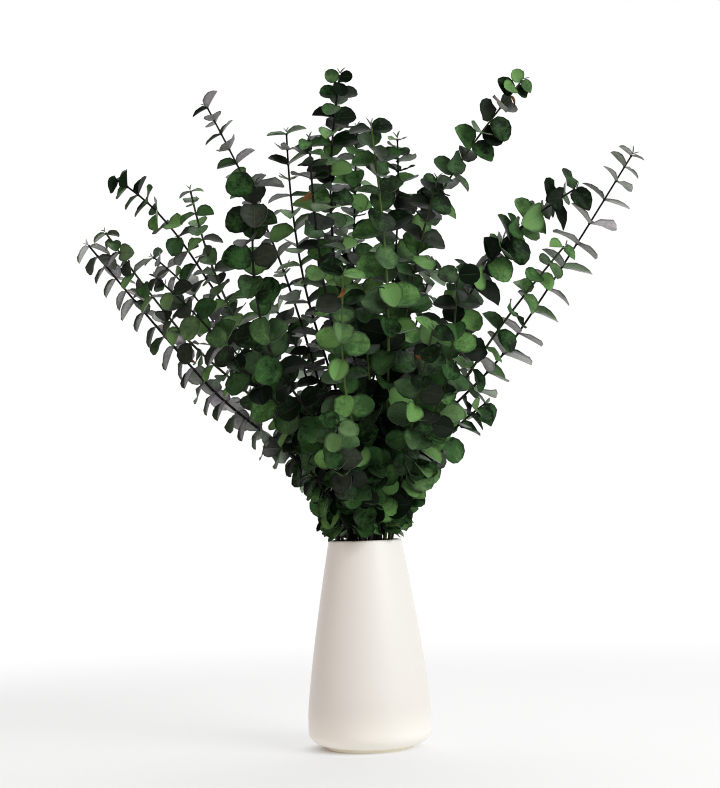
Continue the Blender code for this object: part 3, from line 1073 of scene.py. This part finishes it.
@dataclass(frozen=True)
class LeafHabit:
    """How pairs of leaves stand on a stem, and how single leaves fill the bunch low down."""

    young_pairs: int = 4
    rise: Span = (-0.1, 0.5)
    facing_spread: Span = (0.2, 1.5)
    size_spread: Span = (0.88, 1.12)
    pitch_spread: Span = (0.85, 1.15)
    turn_spread: Span = (-0.3, 0.3)
    hang_spread: Span = (0.6, 1.3)
    nudge: Span = (-0.06, 0.06)
    droop: float = 1.3
    bunch_reach: float = 0.2
    light_side: Place = (0.1, -1.0, 0.15)
    tries: int = 26
    smallest_share: float = 0.7
    fill_reach: Span = (0.002, 0.115)
    fill_pitch: float = 0.0085
    fill_rise: Span = (0.3, 1.2)
    fill_size: Span = (0.8, 1.15)
    fill_roll: Span = (-0.55, 0.55)
    fill_lift: float = 0.2
    low_size: float = 0.6
    low_reach: float = 0.03

    def grow(self, growth: Growth) -> list[Leaf]:
        """Grows pairs of leaves from the tip down, where there is room for them.

        Args:
            growth: The branch that they grow on.

        Returns:
            The leaves.
        """
        plan, chance, course = growth.plan, growth.chance, growth.course
        leaves, pair, place = [], 0, growth.total - growth.beside
        reference = unit(np.cross(np.array([0.0, 1.0, 0.0]), unit(course[-1] - course[-2])))
        while place > plan.bare * growth.total:
            grown = plan.young + (1 - plan.young) * min(1, pair / self.young_pairs)
            node = growth.node(place)
            square = square_to(reference, node.tangent)
            turn = plan.twist + pair * plan.turn * np.pi / 2 + chance.uniform(*self.turn_spread)
            for half_turn in (0, np.pi):
                side = turned(square, node.tangent, turn + half_turn)
                length = plan.leaf * grown * chance.uniform(*self.size_spread)
                leaves += growth.settle(self._paired(growth, node, side, length))
            pair += 1
            place -= plan.leaf * grown * plan.pitch * chance.uniform(*self.pitch_spread)
        return leaves

    def fill(self, growth: Growth) -> list[Leaf]:
        """Grows single leaves low on a branch, where the stems stand too close for pairs.

        Args:
            growth: The branch that they grow on.

        Returns:
            The leaves.
        """
        leaves = []
        for place in np.arange(*self.fill_reach, self.fill_pitch):
            size = np.interp(place, (0, self.low_reach), (self.low_size, 1))
            leaves += growth.settle(self._single(growth, growth.node(place), size))
        return leaves

    def _paired(self, growth: Growth, node: Node, side: Vec, length: float) -> Iterator[Leaf]:
        """Leaves in the plane of their pair, each with its own tilt, ever smaller and more turned.

        Args:
            growth: The branch.
            node: Where on it the leaves grow.
            side: The direction in which the first leaf leaves the stem.
            length: The length of the first leaf.

        Yields:
            The leaves to try.
        """
        plan, chance = growth.plan, growth.chance
        level = np.array([node.base[0], node.base[1], 0.0])
        outside = unit(level / self.bunch_reach + np.array(self.light_side))
        for attempt in range(self.tries):
            share = 1 - (1 - self.smallest_share) * attempt / self.tries
            nudged = turned(side, node.tangent, chance.uniform(*self.nudge) * attempt)
            facing = plan.facing * chance.uniform(*self.facing_spread)
            plane = unit((1 - facing) * node.tangent + facing * outside)
            rise = chance.uniform(*self.rise)
            along = unit(np.cos(rise) * square_to(nudged, plane) + np.sin(rise) * plane)
            normal = square_to(plane, along)
            down = np.array([0, 0, -self.droop]) * plan.hang * chance.uniform(*self.hang_spread)
            hung = unit(along + down)
            tipped = np.dot(normal, hung) / (1 + np.dot(along, hung))
            normal = unit(normal - tipped * (along + hung))
            normal = turned(normal, hung, chance.uniform(-plan.roll, plan.roll))
            yield Leaf(node.base, hung, normal, length * share, node.age, node.radius)

    def _single(self, growth: Growth, node: Node, size: float) -> Iterator[Leaf]:
        """Leaves that point any way along the outside of the bunch.

        Args:
            growth: The branch.
            node: Where on it the leaves grow.
            size: Their size, 1 for full-grown leaves.

        Yields:
            The leaves to try.
        """
        chance, (x, y, _) = growth.chance, node.base
        outside = unit(np.array([x, y, self.fill_lift * np.hypot(x, y)]))
        level = unit(np.cross(outside, UP))
        for _ in range(self.tries):
            side = turned(level, outside, chance.uniform(0, 2 * np.pi))
            rise = chance.uniform(*self.fill_rise)
            along = unit(np.cos(rise) * side + np.sin(rise) * outside)
            normal = turned(square_to(outside, along), along, chance.uniform(*self.fill_roll))
            length = growth.plan.leaf * chance.uniform(*self.fill_size) * size
            yield Leaf(node.base, along, normal, length, node.age, node.radius)


@dataclass
class Branch:
    """One branch as it stands in the vase: its stem, its leaves and its tip buds in one piece."""

    plan: BranchPlan
    angle: float
    leaves: list[Leaf]
    number: int
    stem: StemShape
    depths: list[float] = field(default_factory=list)
    seed: int = 41
    fine_steps: int = 240
    coarse: int = 4
    stem_points: int = 46
    node_reach: float = 0.0013
    node_swell: float = 1.45
    weld: float = 0.00001
    crease: float = math.radians(60)
    seat: float = 0.35
    dry_chance: float = 0.008
    dry_size: float = 0.55
    tone_spread: float = 0.42
    # Painted light: older leaves, lower on the stem, are made lighter where the leaves above block
    # the key light, and the youngest, at the tips, a little darker.
    painted_light_by_age: float = 0.2
    middle_age: float = 0.4
    # Painted shade: leaves deep inside the lower bunch are darkened by their depth, by this much
    # and between these depths.
    painted_shade: float = 0.65
    painted_shade_from: Span = (0.2, 0.65)
    dusk_spread: float = 0.2
    fresh_from: Span = (0.5, 0.85)
    buds: int = 2
    bud_side: Place = (0.2, 0.9, 0.4)
    bud_turn: Span = (-0.3, 0.3)
    bud_spread: Span = (0.3, 0.8)
    bud_size: Span = (0.2, 0.36)
    bud_tone: float = 0.15

    def build(self, mould: LeafMould, bark: Finish) -> Piece:
        """Builds the whole branch.

        Args:
            mould: Makes the leaves.
            bark: The stem's finish.

        Returns:
            The finished piece, named after its plan.
        """
        chance = np.random.default_rng([self.seed, self.number])
        course = self.stem.whole_course(self.plan, self.angle, self.fine_steps)
        blades = [
            self._leaf(mould, leaf, depth, course, chance)
            for leaf, depth in zip(self.leaves, self.depths)
        ]
        for bud in range(self.buds):
            blades.append(self._bud(mould, bud * math.tau / self.buds, course, chance))
        stem = self._stem(course, bark)
        deselect()
        for thing in (*blades, stem):
            thing.select_set(True)
        bpy.context.view_layer.objects.active = stem
        bpy.ops.object.join()
        stem.name = "branch_" + self.plan.name
        return stem

    def _swellings(self, course: Vec, run: Vec) -> dict[float, float]:
        """Where the stem gets its points, with its thickness there against a smooth taper.

        Args:
            course: The stem from foot to tip.
            run: How far along it each point lies.

        Returns:
            Thickness by distance from the foot.
        """
        nodes = [run[np.argmin(np.linalg.norm(course - leaf.base, axis=1))] for leaf in self.leaves]
        nodes = sorted(set(round(float(node), 5) for node in nodes))
        even = [float(place) for place in np.linspace(0, run[-1], self.stem_points)]
        clear = 2 * self.node_reach
        places = {p: 1.0 for p in even if p == 0 or all(abs(p - node) > clear for node in nodes)}
        for node in nodes:
            for k in (-1, 0, 1):
                if 0 < node + k * self.node_reach < run[-1]:
                    places[node + k * self.node_reach] = 1 if k else self.node_swell
        return places

    def _stem(self, course: Vec, bark: Finish) -> Piece:
        """A tapering tube along the course that swells a little at each pair of leaves.

        Args:
            course: The stem from foot to tip.
            bark: Its finish.

        Returns:
            The stem.
        """
        run = run_of(course)
        places = self._swellings(course, run)
        ordered = np.array(sorted(places))
        deselect()
        bpy.ops.curve.primitive_nurbs_path_add(location=(0, 0, 0))
        curve = bpy.context.object.data
        curve.splines.clear()
        spline = curve.splines.new("POLY")
        spline.points.add(len(ordered) - 1)
        for point, place, spot in zip(spline.points, ordered, point_at(course, run, ordered)):
            radius = self.stem.radius(place / run[-1])
            point.co = (*spot, 1)
            point.radius = radius * places[float(place)] / self.stem.foot_radius
        curve.bevel_depth = self.stem.foot_radius
        curve.bevel_resolution = 1
        curve.use_fill_caps = True
        curve.materials.append(bark)
        bpy.ops.object.convert(target="MESH")
        tube = bpy.context.object
        bpy.ops.object.mode_set(mode="EDIT")
        bpy.ops.mesh.select_all(action="SELECT")
        bpy.ops.mesh.remove_doubles(threshold=self.weld)
        bpy.ops.mesh.normals_make_consistent(inside=False)
        bpy.ops.object.mode_set(mode="OBJECT")
        bpy.ops.object.shade_smooth_by_angle(angle=self.crease)
        spots = np.array([vert.co for vert in tube.data.vertices])
        apart = np.linalg.norm(spots[:, None] - course[None, :: self.coarse], axis=2)
        along = run[np.argmin(apart, axis=1) * self.coarse] / run[-1]
        numbers = {"green": self.plan.tint.value, "run": along, "tone": 0, "dusk": 0, "withered": 0}
        for name, number in numbers.items():
            paint_number(tube.data, name, number)
        return tube

    def _leaf(
        self,
        mould: LeafMould,
        leaf: Leaf,
        depth: float,
        course: Vec,
        chance: Chance,
    ) -> Piece:
        """One leaf in its place on the stem, in a form and tone of its own.

        Args:
            mould: Makes the leaf.
            leaf: The leaf.
            depth: How deep in the bunch it lies, which darkens it with painted shade.
            course: The stem from foot to tip.
            chance: The branch's random numbers.

        Returns:
            The finished leaf.
        """
        base = course[np.argmin(np.linalg.norm(course - leaf.base, axis=1))]
        dry = chance.uniform() < self.dry_chance
        form = DRY_FORM if dry else LEAF_FORMS[chance.choice(len(LEAF_FORMS), p=FORM_SHARES)]
        start = base + leaf.along * self.seat * leaf.stem_radius
        tone = self.plan.tone + chance.normal(0, self.tone_spread)
        # Painted light: lighter the older, and so the lower, the leaf is.
        tone += self.painted_light_by_age * (leaf.age - self.middle_age)
        # Painted shade: the deeper a leaf lies in the dense lower bunch, the darker it is made.
        tone -= self.painted_shade * float(np.interp(depth, self.painted_shade_from, (0, 1)))
        length = leaf.length * (self.dry_size if dry else 1.0)
        dusk = np.clip(chance.normal(self.plan.dusk, self.dusk_spread), 0, 1)
        dusk = float(dusk * np.interp(leaf.age, self.fresh_from, (1, 0)))
        numbers = {"tone": tone, "dusk": dusk, "withered": float(dry)}
        return self._placed(mould.cast(form), start, leaf.along, leaf.normal, length, numbers)

    def _bud(self, mould: LeafMould, turn: float, course: Vec, chance: Chance) -> Piece:
        """A small young leaf that folds round the tip of the branch.

        Args:
            mould: Makes the bud.
            turn: Its side of the stem.
            course: The stem from foot to tip.
            chance: The branch's random numbers.

        Returns:
            The finished bud.
        """
        tangent = unit(course[-1] - course[-3])
        side = unit(np.cross(tangent, np.array(self.bud_side)))
        out = turned(side, tangent, turn + chance.uniform(*self.bud_turn))
        along = unit(tangent + out * chance.uniform(*self.bud_spread))
        normal = square_to(-out, along)
        length = self.plan.leaf * chance.uniform(*self.bud_size)
        numbers = {"tone": self.plan.tone + self.bud_tone, "dusk": self.plan.dusk, "withered": 0}
        return self._placed(mould.cast(BUD_FORM), course[-1], along, normal, length, numbers)

    def _placed(
        self,
        mesh: bpy.types.Mesh,
        start: Vec,
        along: Vec,
        normal: Vec,
        length: float,
        numbers: dict[str, float],
    ) -> Piece:
        """A leaf mesh set at its start, along its blade, at its length, with its tone and age.

        Args:
            mesh: The leaf, one leaf long along +X.
            start: Where it leaves the stem.
            along: A unit vector along the blade.
            normal: A unit vector square to it.
            length: Its length.
            numbers: Its tone, dusk and age.

        Returns:
            The leaf in its place.
        """
        across = np.cross(normal, along)
        columns = [along * length, across * length, normal * length, start]
        rows = [[float(column[row]) for column in columns] for row in range(3)]
        mesh.transform(Matrix([*rows, [0, 0, 0, 1]]))
        for name, number in {**numbers, "green": 0, "run": 0}.items():
            paint_number(mesh, name, number)
        blade = bpy.data.objects.new("leaf", mesh)
        bpy.context.scene.collection.objects.link(blade)
        return blade


@dataclass
class Bunch:
    """All branches, with leaves that keep clear of each other."""

    stem: StemShape = StemShape()
    habit: LeafHabit = LeafHabit()
    seed: int = 7
    fill_seed: int = 100
    rim_gap: float = 0.004
    snug: float = 0.0005
    overhang: float = 0.0012
    lip_gap: float = 0.003
    stem_samples: int = 120
    # sector, layer, edge_percentile and open_above measure how deep leaves lie in the lower bunch,
    # for their painted shade.
    sector: float = 0.6
    layer: float = 0.03
    edge_percentile: float = 94
    open_above: Span = (0.34, 0.46)

    def angles(self) -> dict[str, float]:
        """Angle of each branch at the waist of its ring, in the order of their tips.

        Returns:
            Angles in radians by the name of the branch.
        """
        angles = {}
        for stand in Stand:
            members = [plan for plan in BRANCHES if plan.stand is stand]
            members.sort(key=lambda plan: np.arctan2(plan.tip[1], plan.tip[0]))
            for place, plan in enumerate(members):
                angles[plan.name] = stand.value.start + 2 * np.pi * place / len(members)
        return angles

    def grow(self, vase_top: float, mouth_radius: float) -> list[Branch]:
        """Grows every branch's leaves.

        Args:
            vase_top: Height of the vase's lip.
            mouth_radius: Outer radius of the lip.

        Returns:
            The branches, ready to build.
        """
        angles = self.angles()
        stems = {}
        for plan in BRANCHES:
            course = self.stem.whole_course(plan, angles[plan.name], self.stem.steps)
            run = run_of(course)
            points = point_at(course, run, np.linspace(0, run[-1], self.stem_samples))
            stems[plan.name] = (points, self.stem.radius(np.linspace(0, 1, len(points))))
        room = Room(stems, vase_top + self.rim_gap, mouth_radius + self.lip_gap)
        branches = []
        for number, plan in enumerate(BRANCHES):
            branch = Branch(plan, angles[plan.name], [], number, self.stem)
            branch.leaves += self.habit.grow(self._growth(branch, room, number))
            branches.append(branch)
        room.leaf_clearance = room.stem_clearance = self.snug
        room.floor, room.overhang = vase_top + self.snug, self.overhang
        for branch in branches:
            growth = self._growth(branch, room, self.fill_seed + branch.number)
            branch.leaves += self.habit.fill(growth)
        self._find_depths(branches)
        return branches

    def _growth(self, branch: Branch, room: Room, number: int) -> Growth:
        """What a branch's leaves grow from, with random numbers of its own.

        Args:
            branch: The branch.
            room: The space that is taken.
            number: The seed of its random numbers.

        Returns:
            The growth.
        """
        course = self.stem.free_course(branch.plan, branch.angle, self.stem.steps)
        chance = np.random.default_rng([self.seed, number])
        return Growth(branch.plan, course, self.stem, room, chance)

    def _find_depths(self, branches: list[Branch]) -> None:
        """Tells each branch how deep in the bunch its leaves lie, from 0 at the outside to 1, which
        sets their painted shade.

        Args:
            branches: The branches, with all their leaves.
        """
        leaves = [leaf for branch in branches for leaf in branch.leaves]
        middles = np.array([leaf.base + leaf.along * leaf.length / 2 for leaf in leaves])
        out = np.hypot(middles[:, 0], middles[:, 1])
        angles = np.arctan2(middles[:, 1], middles[:, 0])
        depths = []
        for middle, reach, angle in zip(middles, out, angles):
            apart = np.abs((angles - angle + np.pi) % (2 * np.pi) - np.pi)
            beside = (apart < self.sector) & (np.abs(middles[:, 2] - middle[2]) < self.layer)
            dense = np.interp(middle[2], self.open_above, (1, 0))
            edge = np.percentile(out[beside], self.edge_percentile)
            depths.append(float(dense * np.clip(1 - reach / edge, 0, 1)))
        for branch in branches:
            count = len(branch.leaves)
            branch.depths, depths = depths[:count], depths[count:]


# ---------------------------------------------------------------- the vase


@dataclass
class Vase:
    """The turned vase: its outline is drawn up ring by ring, over the lip and down the inside."""

    height: float
    belly_radius: float
    wall: float = 0.004
    floor: float = 0.008
    mouth_radius: float = 0.0344
    belly_top: float = 0.03
    side_curve: float = 1.25
    corner: Span = (0.0177, 0.0135)
    inner_corner: float = 0.008
    foot_radius: float = 0.0405
    foot_height: float = 0.003
    foot_edge: float = 0.0006
    crease: float = math.radians(40)
    segments: int = 96
    side_rings: int = 22
    arc_rings: int = 7

    def side_radius(self, z: float) -> float:
        """Outer radius of the side at height z."""
        share = max(0.0, (z - self.belly_top) / (self.height - self.belly_top))
        return self.belly_radius - (self.belly_radius - self.mouth_radius) * share**self.side_curve

    def arc(self, centre: Span, size: Span, start: float, end: float) -> list[Span]:
        """Points of the outline along an arc.

        Args:
            centre: Its centre.
            size: Its half width and half height.
            start: Its first angle, in degrees.
            end: Its last angle.

        Returns:
            The points, each a radius and a height.
        """
        turns = np.radians(np.linspace(start, end, self.arc_rings))
        (x, z), (width, height) = centre, size
        return [(x + width * math.cos(t), z + height * math.sin(t)) for t in turns]

    def outline(self) -> list[Span]:
        """Radius and height of each ring, from the foot up, over the lip and down to the floor.

        Returns:
            The points.
        """
        lip, tight, edge = self.wall / 2, self.inner_corner, self.foot_edge
        heights = np.linspace(self.belly_top, self.height - lip, self.side_rings)
        foot = [(self.foot_radius - edge, 0.0), (self.foot_radius, edge)]
        round_in = self.belly_radius - self.corner[0]
        corner = self.arc((round_in, self.foot_height + self.corner[1]), self.corner, -90, 0)
        outside = [(self.side_radius(z), z) for z in heights]
        over = self.arc((outside[-1][0] - lip, heights[-1]), (lip, lip), 0, 180)[1:-1]
        inside = [(self.side_radius(z) - self.wall, z) for z in heights[::-1]]
        round_in = self.belly_radius - self.wall - tight
        hollow = self.arc((round_in, self.floor + tight), (tight, tight), 0, -90)
        return foot + corner + outside + over + inside + hollow

    def build(self, glaze: Finish) -> Piece:
        """Draws the vase up from its foot.

        Args:
            glaze: Its finish.

        Returns:
            The finished vase.
        """
        (radius, height), *rings = self.outline()
        deselect()
        bpy.ops.mesh.primitive_circle_add(
            vertices=self.segments, radius=radius, fill_type="NGON", location=(0, 0, height)
        )
        vase = bpy.context.object
        vase.name = "turned_vase"
        bpy.ops.object.mode_set(mode="EDIT")
        bpy.ops.mesh.select_all(action="SELECT")
        for next_radius, next_height in rings:
            rise = {"value": (0, 0, next_height - height)}
            bpy.ops.mesh.extrude_region_move(TRANSFORM_OT_translate=rise)
            scale = next_radius / radius
            bpy.ops.transform.resize(value=(scale, scale, 1), center_override=(0, 0, next_height))
            radius, height = next_radius, next_height
        bpy.ops.mesh.select_all(action="SELECT")
        bpy.ops.mesh.normals_make_consistent(inside=False)
        bpy.ops.object.mode_set(mode="OBJECT")
        vase.data.materials.append(glaze)
        bpy.ops.object.shade_smooth_by_angle(angle=self.crease)
        return vase


# ---------------------------------------------------------------- the studio


@dataclass(frozen=True)
class Lamp:
    """A rectangular soft light: its width and height are in metres, its power in watts."""

    name: str
    place: Place
    target: Place
    size: Span
    power: float
    colour: Colour = (1.0, 1.0, 1.0)

    def hang(self) -> None:
        """Puts the light in its place, turned to its target."""
        lamp = bpy.data.lights.new(self.name, "AREA")
        lamp.shape = "RECTANGLE"
        lamp.size, lamp.size_y = self.size
        lamp.energy = self.power
        lamp.color = self.colour
        thing = bpy.data.objects.new(self.name, lamp)
        bpy.context.scene.collection.objects.link(thing)
        aim = (Vector(self.target) - Vector(self.place)).to_track_quat("-Z", "Y")
        thing.matrix_world = Matrix.Translation(self.place) @ aim.to_matrix().to_4x4()


LAMPS = (
    Lamp("key", (1.42, -1.28, 1.35), (0, 0, 0.28), (1.3, 1.3), 37),
    Lamp("fill", (-1.6, -0.8, 0.5), (0, 0, 0.15), (0.9, 0.9), 4.2, (1.0, 0.62, 0.42)),
    Lamp("top", (0.25, 0.9, 2.2), (0, 0, 0.3), (1.8, 1.6), 26),
)


@dataclass
class Studio:
    """Pale floor that runs out into white, a light room with a white wall, lights and camera."""

    eye: Place = (-0.00076, -1.7, 0.25)
    pitch: float = math.radians(2.8)
    roll: float = math.radians(1.63)
    lens: float = 81.76
    floor_size: float = 60.0
    floor_drop: float = 0.0003
    floor_colour: Colour = (0.84, 0.84, 0.84)
    glow_colour: Colour = (0.95, 0.95, 0.95)
    floor_glow: float = 0.6
    contact_centre: Place = (-0.010, 0.004, 0)
    contact: Span = (0.030, 0.060)
    white_between: Span = (0.55, 1.15)
    wall_between: Span = (0.55, 0.85)
    ambient: float = 0.32

    def build(self) -> None:
        """Sets up floor, background, lights and camera."""
        self._floor()
        self._background()
        for lamp in LAMPS:
            lamp.hang()
        self._camera()

    def _floor(self) -> None:
        """A matt floor that turns white farther out, with a glow of painted light that fills in its
        shadows but fades out round the foot, where it is darkest.
        """
        deselect()
        bpy.ops.mesh.primitive_plane_add(size=self.floor_size, location=(0, 0, -self.floor_drop))
        floor = bpy.context.object
        floor.name = "studio_floor"
        bpy.ops.object.transform_apply(location=True, rotation=False, scale=False)
        paint = Paint("studio_floor")
        far = paint.node("VectorMath", {"operation": "LENGTH"}, {0: paint.place()})
        white = paint.node("Emission", {}, {"Color": (1.0, 1.0, 1.0), "Strength": 1.0})
        near = paint.node("Emission", {}, {"Color": self.glow_colour, "Strength": 1.0})
        settings, inputs = {"operation": "DISTANCE"}, {0: paint.place(), 1: self.contact_centre}
        beside = paint.node("VectorMath", settings, inputs)
        paint.wear(self.floor_colour, 0.7, Specular_IOR_Level=0.2)
        share = paint.value(far, "Value").step(*self.white_between)
        # Painted light: near the vase the floor mixes in a glow that fills in its shadows; the glow
        # fades out round the foot, a little left of centre, so that the floor's own shadow stays
        # darkest there.
        glow = paint.value(beside, "Value").step(*self.contact) * self.floor_glow
        matt = paint.shader.outputs[0]
        matt = paint.node("MixShader", {}, {0: glow, 1: matt, 2: near.outputs[0]})
        blend = paint.node("MixShader", {}, {0: share, 1: matt.outputs[0], 2: white.outputs[0]})
        paint.feed(paint.tree.nodes["Material Output"].inputs["Surface"], blend.outputs[0])
        floor.data.materials.append(paint.material)

    def _background(self) -> None:
        """A white wall of light behind the object and a dimmer room around it."""
        world = bpy.data.worlds.new("studio")
        bpy.context.scene.world = world
        world.use_nodes = True
        tree = world.node_tree
        direction = tree.nodes.new("ShaderNodeTexCoord")
        parts = tree.nodes.new("ShaderNodeSeparateXYZ")
        tree.links.new(direction.outputs["Generated"], parts.inputs[0])
        behind = Value(tree, parts.outputs["Y"]).step(*self.wall_between)
        strength = self.ambient + behind * (1.0 - self.ambient)
        back = tree.nodes["Background"]
        back.inputs["Color"].default_value = (1, 1, 1, 1)
        tree.links.new(strength.socket, back.inputs["Strength"])

    def _camera(self) -> None:
        """The camera, level with the leaves and tilted a little."""
        right, ahead = Vector((1, 0, 0)), Vector((0, math.cos(self.pitch), math.sin(self.pitch)))
        up = right.cross(ahead)
        side = right * math.cos(self.roll) - up * math.sin(self.roll)
        top = right * math.sin(self.roll) + up * math.cos(self.roll)
        lens = bpy.data.cameras.new("camera")
        lens.lens = self.lens
        camera = bpy.data.objects.new("camera", lens)
        bpy.context.scene.collection.objects.link(camera)
        turn = Matrix((side, top, -ahead)).transposed()
        camera.matrix_world = Matrix.Translation(self.eye) @ turn.to_4x4()
        bpy.context.scene.camera = camera
        bpy.context.scene.view_settings.view_transform = "Standard"
        bpy.context.scene.cycles.filter_width = 1.0


# ---------------------------------------------------------------- all of it


def show(piece: Piece, node: str) -> None:
    """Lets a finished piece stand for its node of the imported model.

    Args:
        piece: The finished piece.
        node: The node.
    """
    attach(piece, "root")
    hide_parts(node)


def main() -> None:
    """Builds the vase and every branch, and the studio round them."""
    logging.basicConfig(level=logging.INFO, format="%(name)s: %(message)s")
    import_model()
    low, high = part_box("vase")
    vase = Vase(height=high[2] - low[2], belly_radius=(high[0] - low[0]) / 2)
    show(vase.build(VaseGlaze().material()), "vase")
    LOG.info("vase, %.0f mm high", vase.height * 1000)
    mould = LeafMould([LEAF_UPPER.material(), LEAF_UNDER.material()])
    bark = Bark().material()
    for branch in Bunch().grow(vase.height, vase.mouth_radius):
        show(branch.build(mould, bark), branch.plan.name)
        LOG.info("%s, %d leaves", branch.plan.name, len(branch.leaves))
    Studio().build()


if __name__ == "__main__":
    main()
